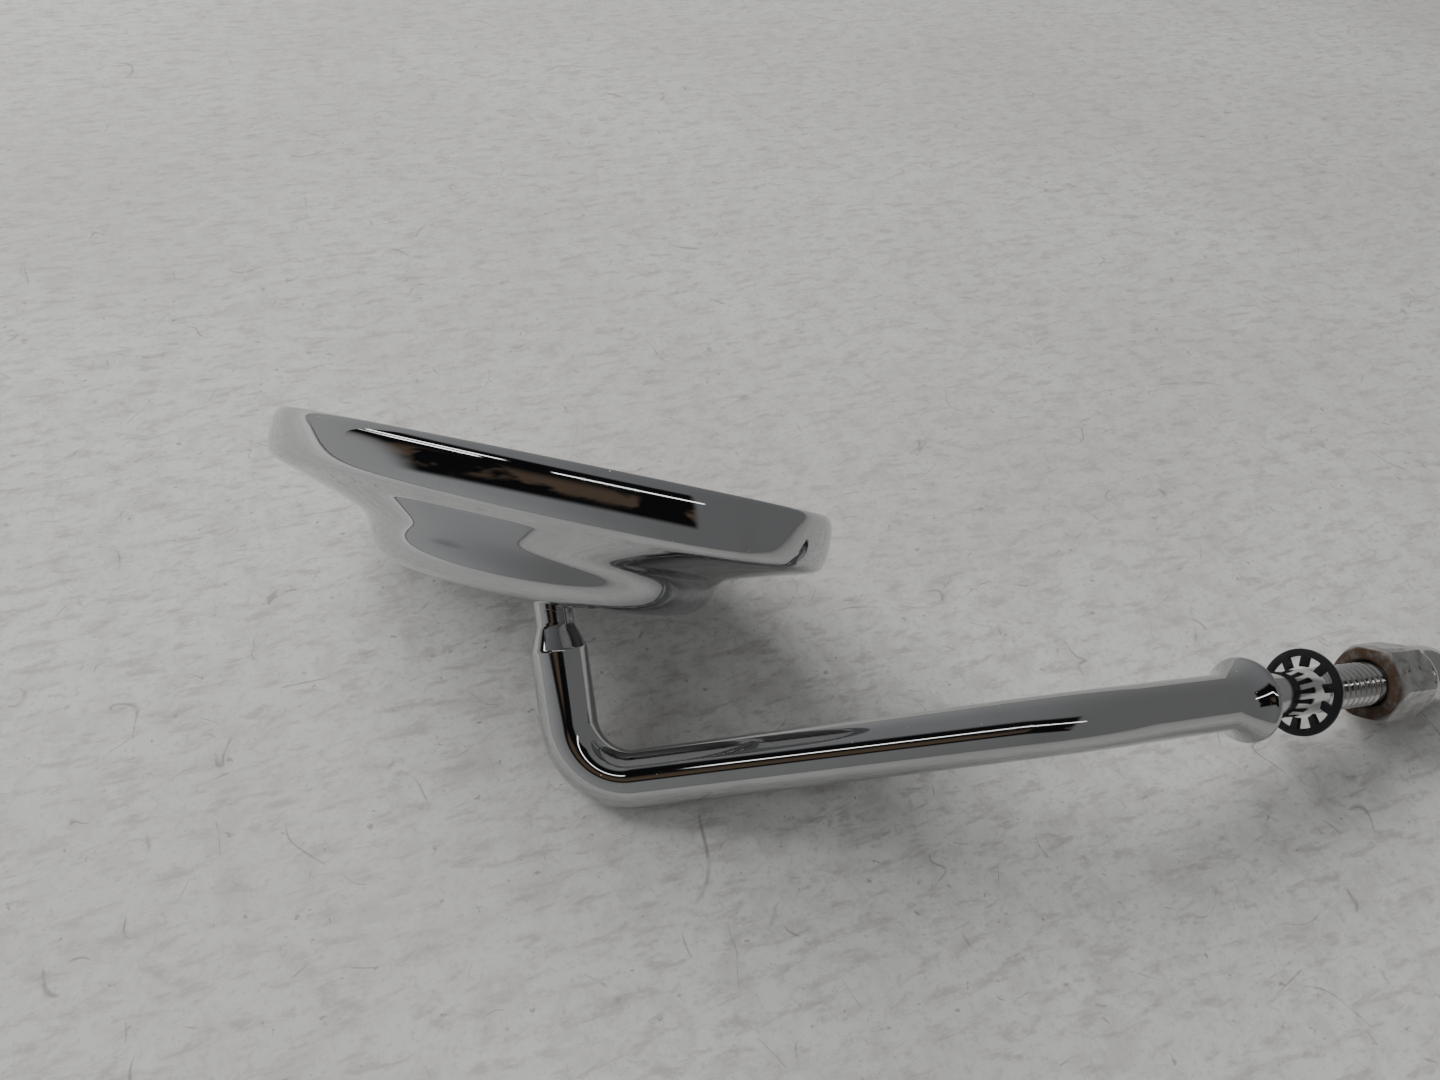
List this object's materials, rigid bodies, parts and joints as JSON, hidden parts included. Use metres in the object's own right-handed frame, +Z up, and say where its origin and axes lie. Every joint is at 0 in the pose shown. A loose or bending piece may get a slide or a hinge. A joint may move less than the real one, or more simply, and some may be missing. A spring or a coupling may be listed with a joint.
{
  "type": "handlebar mirror",
  "caption": "Oval convex rear-view mirror in a chrome shell, on a ball joint at the end of a bent chrome stem with a threaded stud, a lock washer and an acorn nut.",
  "frame": {"origin": "on the surface the mirror lies on, at the middle of its footprint", "axes": "+Z up, +X the way the threaded stud points across the footprint, +Y from the stem towards the head's far side"},
  "size_m": [0.201, 0.1186, 0.06],
  "materials": {
    "stem_chrome": "mirror-bright chrome plate over a bent steel rod, with fine polishing lines, dust specks and faint smudges; turning rings on the neck",
    "shell_chrome": "mirror-bright chrome plate on a pressed steel shell, with dust specks, faint smudges and a few hairline scratches",
    "worn_zinc": "dull, worn zinc plate with darker, slightly rusty corners and end faces",
    "cap_nickel": "bright plate over a drawn steel cap, slightly dulled and rubbed",
    "black_oxide": "black oxide over spring steel, brighter on the tooth edges",
    "spring_steel": "plain blued spring steel, satin",
    "screw_steel": "zinc-plated steel, satin",
    "nylon": "plain dark nylon",
    "backing_board": "plain black board",
    "foam": "soft black foam sheet",
    "gasket_rubber": "matt black rubber",
    "mirror_glass": "clear convex glass with a silvered back, light dust"
  },
  "bodies": {
    "stem": {"stem": "stem_chrome"},
    "lock_washer": {"lock_washer": "black_oxide"},
    "nut": {"nut_body": "worn_zinc", "nut_cap": "cap_nickel"},
    "lower_liner": {"lower_liner": "nylon"},
    "upper_liner": {"upper_liner": "nylon"},
    "head": {"back_shell": "shell_chrome", "pressure_cup": "spring_steel", "disc_spring": "spring_steel", "retainer_plate": "spring_steel", "retainer_screw_1": "screw_steel", "retainer_screw_2": "screw_steel", "retainer_screw_3": "screw_steel", "split_washer_1": "spring_steel", "split_washer_2": "spring_steel", "split_washer_3": "spring_steel", "glass_backing": "backing_board", "foam_pad": "foam", "mirror_glass": "mirror_glass", "glass_gasket": "gasket_rubber"}
  },
  "joints": [
    {"name": "nut_turn", "type": "hinge", "parent": "stem", "child": "lock_washer", "pos_m": [0.06226, -0.05173, 0.01323], "axis": [0.9748, -0.0181, -0.2224], "range_deg": [-2168, 1275]},
    {"name": "nut_travel", "type": "slide", "parent": "lock_washer", "child": "nut", "axis": [0.9748, -0.0181, -0.2224], "range_m": [-0.0086, 0.0051]},
    {"name": "head_spin", "type": "hinge", "parent": "stem", "child": "lower_liner", "pos_m": [-0.05826, 0.00227, 0.02558], "axis": [0.0698, 0.7848, 0.6158], "continuous": true},
    {"name": "head_tilt", "type": "hinge", "parent": "lower_liner", "child": "upper_liner", "pos_m": [-0.05826, 0.00227, 0.02558], "axis": [0.4795, 0.515, -0.7106], "range_deg": [-45, 3.6]},
    {"name": "head_swing", "type": "hinge", "parent": "upper_liner", "child": "head", "pos_m": [-0.05826, 0.00227, 0.02558], "axis": [-0.7917, 0.6032, -0.097], "range_deg": [-12, 12]}
  ],
  "couplings": [
    {"joint": "nut_travel", "follows": "nut_turn", "m_per_rad": 0.00022457}
  ]
}
